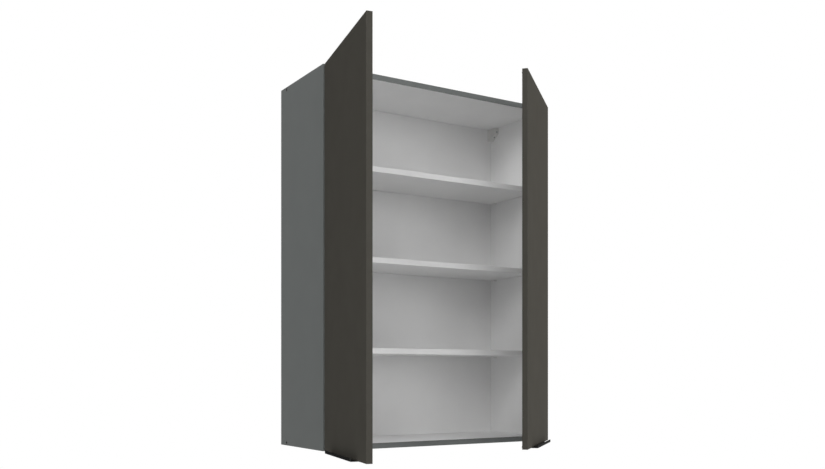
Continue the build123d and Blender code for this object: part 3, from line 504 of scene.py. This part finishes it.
def screw_tree():
    """Geometry Nodes tree: a screw with a domed, cross-recessed head at every point, its shank along the
    point's axis attribute for the point's length attribute. A cone depth makes the head's underside a
    countersink."""
    tree = bpy.data.node_groups.new("cross_head_screws", "GeometryNodeTree")
    tree.interface.new_socket("Geometry", in_out="OUTPUT", socket_type="NodeSocketGeometry")
    for name, kind in (
        ("Points", "Geometry"), ("Head radius", "Float"), ("Head height", "Float"),
        ("Cone depth", "Float"), ("Shank radius", "Float"), ("Recess depth", "Float"),
        ("Seed", "Int"), ("Finish", "Material"),
    ):
        tree.interface.new_socket(name, in_out="INPUT", socket_type=f"NodeSocket{kind}")
    given = add(tree, "NodeGroupInput").outputs
    position = add(tree, "GeometryNodeInputPosition").outputs["Position"]

    # Head: a unit ball whose upper half becomes the crown and whose lower half a cone or a flat
    ball = add(tree, "GeometryNodeMeshUVSphere", {
        "Segments": HEAD_SEGMENTS, "Rings": HEAD_RINGS, "Radius": 1.0})
    place = add(tree, "ShaderNodeSeparateXYZ", {0: position})
    across_x = add(tree, "ShaderNodeMath", {
        0: place.outputs["X"], 1: given["Head radius"]}, operation="MULTIPLY")
    across_y = add(tree, "ShaderNodeMath", {
        0: place.outputs["Y"], 1: given["Head radius"]}, operation="MULTIPLY")
    upper = add(tree, "ShaderNodeMath", {0: place.outputs["Z"], 1: 0.0}, operation="MAXIMUM")
    crown = add(tree, "ShaderNodeMath", {0: upper.outputs[0], 1: CROWN_POWER}, operation="POWER")
    lower = add(tree, "ShaderNodeMath", {0: place.outputs["Z"], 1: 0.0}, operation="MINIMUM")
    square = add(tree, "ShaderNodeMath", {0: lower.outputs[0], 1: 2.0}, operation="POWER")
    inner = add(tree, "ShaderNodeMath", {0: 1.0, 1: square.outputs[0]}, operation="SUBTRACT")
    reach = add(tree, "ShaderNodeMath", {0: inner.outputs[0], 1: 0.5}, operation="POWER")
    slope = add(tree, "ShaderNodeMath", {0: reach.outputs[0], 1: 1.0}, operation="SUBTRACT")
    cone = add(tree, "ShaderNodeMath", {
        0: slope.outputs[0], 1: given["Cone depth"]}, operation="MULTIPLY")
    height = add(tree, "ShaderNodeMath", {
        0: crown.outputs[0], 1: given["Head height"], 2: cone.outputs[0]}, operation="MULTIPLY_ADD")
    domed = add(tree, "ShaderNodeCombineXYZ", {
        "X": across_x.outputs[0], "Y": across_y.outputs[0], "Z": height.outputs[0]})
    head = add(tree, "GeometryNodeSetPosition", {
        "Geometry": ball.outputs["Mesh"], "Position": domed.outputs["Vector"]})

    # Recess: a tapered punch with its inner corners drawn in to a cross, taken out of the crown
    mouth = add(tree, "ShaderNodeMath", {
        0: given["Head radius"], 1: RECESS_MOUTH}, operation="MULTIPLY")
    foot = add(tree, "ShaderNodeMath", {
        0: given["Head radius"], 1: RECESS_FLOOR}, operation="MULTIPLY")
    deep = add(tree, "ShaderNodeMath", {0: given["Recess depth"], 1: 2.0}, operation="MULTIPLY")
    punch = add(tree, "GeometryNodeMeshCone", {
        "Vertices": RECESS_CORNERS, "Radius Top": mouth.outputs[0], "Radius Bottom": foot.outputs[0],
        "Depth": deep.outputs[0]})
    index = add(tree, "GeometryNodeInputIndex").outputs["Index"]
    turn_in = add(tree, "ShaderNodeMath", {0: index, 1: INNER_CORNER_EVERY}, operation="MODULO")
    # Of each run of corners the last is the inner one
    corner = add(tree, "ShaderNodeMath", {
        0: turn_in.outputs[0], 1: INNER_CORNER_EVERY - 1.5}, operation="GREATER_THAN")
    draw = add(tree, "ShaderNodeMapRange", {
        "Value": corner.outputs[0], "To Min": 1.0, "To Max": INNER_CORNER_SHARE})
    squeeze = add(tree, "ShaderNodeCombineXYZ", {"X": draw.outputs[0], "Y": draw.outputs[0], "Z": 1.0})
    drawn = add(tree, "ShaderNodeVectorMath", {
        0: position, 1: squeeze.outputs["Vector"]}, operation="MULTIPLY")
    cross = add(tree, "GeometryNodeSetPosition", {
        "Geometry": punch.outputs["Mesh"], "Position": drawn.outputs["Vector"]})
    bottom = add(tree, "ShaderNodeMath", {
        0: given["Head height"], 1: given["Recess depth"]}, operation="SUBTRACT")
    lift = add(tree, "ShaderNodeCombineXYZ", {"Z": bottom.outputs[0]})
    sunk = add(tree, "GeometryNodeTransform", {
        "Geometry": cross.outputs["Geometry"], "Translation": lift.outputs["Vector"]})
    cut = add(tree, "GeometryNodeMeshBoolean", {
        "Mesh 1": head.outputs["Geometry"], "Mesh 2": sunk.outputs["Geometry"]}, operation="DIFFERENCE")

    # Shank: a unit length below the head, stretched at each point
    shank = add(tree, "GeometryNodeMeshCylinder", {
        "Vertices": SHANK_SEGMENTS, "Radius": given["Shank radius"], "Depth": 1.0})
    shank = add(tree, "GeometryNodeTransform", {
        "Geometry": shank.outputs["Mesh"], "Translation": (0.0, 0.0, -0.5)})

    # Each screw faces along its axis and stops at a turn of its own
    axis = add(tree, "GeometryNodeInputNamedAttribute", {"Name": "axis"}, data_type="FLOAT_VECTOR")
    length = add(tree, "GeometryNodeInputNamedAttribute", {"Name": "length"}, data_type="FLOAT")
    facing = add(tree, "FunctionNodeAlignRotationToVector", {
        "Vector": axis.outputs["Attribute"]}, axis="Z")
    turn = add(tree, "FunctionNodeRandomValue", {
        "Max": math.tau, "Seed": given["Seed"]}, data_type="FLOAT")
    about = add(tree, "ShaderNodeCombineXYZ", {"Z": turn.outputs["Value"]})
    turned = add(tree, "FunctionNodeRotateRotation", {
        "Rotation": facing.outputs["Rotation"],
        "Rotate By": about.outputs["Vector"]}, rotation_space="LOCAL")
    stretch = add(tree, "ShaderNodeCombineXYZ", {
        "X": 1.0, "Y": 1.0, "Z": length.outputs["Attribute"]})
    joined = add(tree, "GeometryNodeJoinGeometry")
    for piece, scale in (
        (cut.outputs["Mesh"], (1.0, 1.0, 1.0)),
        (shank.outputs["Geometry"], stretch.outputs["Vector"]),
    ):
        placed = add(tree, "GeometryNodeInstanceOnPoints", {
            "Points": given["Points"], "Instance": piece, "Rotation": turned.outputs["Rotation"],
            "Scale": scale})
        tree.links.new(placed.outputs["Instances"], joined.inputs["Geometry"])
    real = add(tree, "GeometryNodeRealizeInstances", {"Geometry": joined.outputs["Geometry"]})
    done = add(tree, "GeometryNodeSetMaterial", {
        "Geometry": real.outputs["Geometry"], "Material": given["Finish"]})
    add(tree, "NodeGroupOutput", {"Geometry": done.outputs["Geometry"]})
    return tree


SCREW_TREE = screw_tree()


def screws(name, body, finish, axes, sizes):
    """Screws in place of CAD nodes: axes gives each node's direction into the wood, sizes the tree's
    inputs."""
    places, ways, lengths = [], [], []
    for node, axis in axes.items():
        for points in loose_parts(node):
            along = points @ np.array(axis)
            top = points[along < along.min() + FACE_LIMIT]
            places.append(Vector((top.max(0) + top.min(0)) / 2) + sizes["Head height"] * axis)
            ways.append(-axis)
            lengths.append(np.ptp(along) - sizes["Head height"])
    mesh = bpy.data.meshes.new(name)
    mesh.from_pydata(places, [], [])
    mesh.attributes.new("axis", "FLOAT_VECTOR", "POINT").data.foreach_set("vector", np.ravel(ways))
    mesh.attributes.new("length", "FLOAT", "POINT").data.foreach_set("value", lengths)
    obj = bpy.data.objects.new(name, mesh)
    scene.collection.objects.link(obj)
    modifier = obj.modifiers.new("screws", "NODES")
    modifier.node_group = SCREW_TREE
    for socket in SCREW_TREE.interface.items_tree:
        if socket.name in sizes:
            modifier[socket.identifier] = sizes[socket.name]
        elif socket.name == "Finish":
            modifier[socket.identifier] = FINISH[finish]
    settle(obj)
    obj.data.shade_smooth()
    obj.data.set_sharp_from_angle(angle=SHARP)
    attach(obj, body)
    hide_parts(*axes)


screws("hinge_plate_screws", "carcass", "nickel", {
    f"{side}_{kind}_screws": INTO_SIDE[side] for side in SIDES for kind in ("plate", "arm")
}, EURO_SCREW)
for side in SIDES:
    screws(f"{side}_hinge_cup_screws", f"{side}_door", "nickel",
           {f"{side}_cup_screws": INTO_DOOR[side]}, WOOD_SCREW)
    screws(f"{side}_flush_handle_screws", f"{side}_door", "dark_steel",
           {f"{side}_handle_screws": INTO_DOOR[side]}, FLUSH_SCREW)


def set_camera():
    """Camera at the photograph's viewpoint."""
    camera = bpy.data.objects.new("camera", bpy.data.cameras.new("camera"))
    camera.location = CAMERA_PLACE
    camera.rotation_euler = (math.radians(90), 0.0, -CAMERA_YAW)
    camera.data.sensor_width = CAMERA_SENSOR
    camera.data.lens = CAMERA_LENS
    camera.data.shift_y = CAMERA_SHIFT_Y
    scene.collection.objects.link(camera)
    scene.camera = camera


def looked_at(tree):
    """Output that is 1 where the eye meets the surround, straight, in a gloss or through a clear piece,
    and 0 where only its light counts."""
    path = add(tree, "ShaderNodeLightPath")
    straight = add(tree, "ShaderNodeMath", {
        0: path.outputs["Is Camera Ray"], 1: path.outputs["Is Glossy Ray"]}, operation="MAXIMUM")
    through = add(tree, "ShaderNodeMath", {
        0: straight.outputs["Value"], 1: path.outputs["Is Transmission Ray"]}, operation="MAXIMUM")
    return through.outputs["Value"]


def lay_floor():
    """Pale floor that keeps the cabinet's shadow and fades to white away from it."""
    mesh = bpy.data.meshes.new("floor")
    shape = bmesh.new()
    bmesh.ops.create_circle(shape, cap_ends=True, segments=FLOOR_SEGMENTS, radius=FLOOR_RADIUS,
                            matrix=Matrix.Translation((0.0, 0.0, -FLOOR_DROP)))
    shape.to_mesh(mesh)
    shape.free()
    floor = bpy.data.objects.new("floor", mesh)
    scene.collection.objects.link(floor)
    material, tree, shader, place = start_material("pale_floor")
    shader.inputs["Base Color"].default_value = linear("#E4E4E4")
    shader.inputs["Roughness"].default_value = 0.9
    white = add(tree, "ShaderNodeEmission", {"Color": linear("#FFFFFF"), "Strength": 1.0})
    reach = add(tree, "ShaderNodeVectorMath", {0: place}, operation="LENGTH")
    fade = add(tree, "ShaderNodeMapRange", {
        "Value": reach.outputs["Value"], "From Min": FLOOR_FADE_START, "From Max": FLOOR_FADE_END,
        "To Min": FLOOR_WHITE, "To Max": 1.0})
    share = add(tree, "ShaderNodeMath", {
        0: looked_at(tree), 1: fade.outputs["Result"]}, operation="MULTIPLY")
    mix = add(tree, "ShaderNodeMixShader", {
        "Fac": share.outputs["Value"], 1: shader.outputs["BSDF"], 2: white.outputs["Emission"]})
    tree.links.new(mix.outputs["Shader"], tree.nodes["Material Output"].inputs["Surface"])
    mesh.materials.append(material)


def light_surround():
    """Surround that is white to the eye and gives the cabinet only a little light."""
    world = bpy.data.worlds.new("surround")
    world.use_nodes = True
    scene.world = world
    tree = world.node_tree
    tree.nodes.clear()
    dim = add(tree, "ShaderNodeBackground", {"Color": linear("#FFFFFF"), "Strength": SURROUND_STRENGTH})
    white = add(tree, "ShaderNodeBackground", {"Color": linear("#FFFFFF"), "Strength": 1.0})
    mix = add(tree, "ShaderNodeMixShader", {
        "Fac": looked_at(tree), 1: dim.outputs["Background"], 2: white.outputs["Background"]})
    add(tree, "ShaderNodeOutputWorld", {"Surface": mix.outputs["Shader"]})


def hang_lamps():
    """The ring of soft lamps, each turned to the cabinet."""
    for name, (bearing, height, power) in LAMPS.items():
        lamp = bpy.data.lights.new(name, "AREA")
        lamp.shape = "DISK"
        lamp.size = LAMP_SIZE
        lamp.energy = power
        obj = bpy.data.objects.new(name, lamp)
        turn = Euler((math.radians(90.0 - height), 0.0, math.radians(bearing)))
        obj.rotation_euler = turn
        obj.location = LAMP_AIM + turn.to_matrix() @ UP * LAMP_DISTANCE
        scene.collection.objects.link(obj)


set_camera()
lay_floor()
light_surround()
hang_lamps()
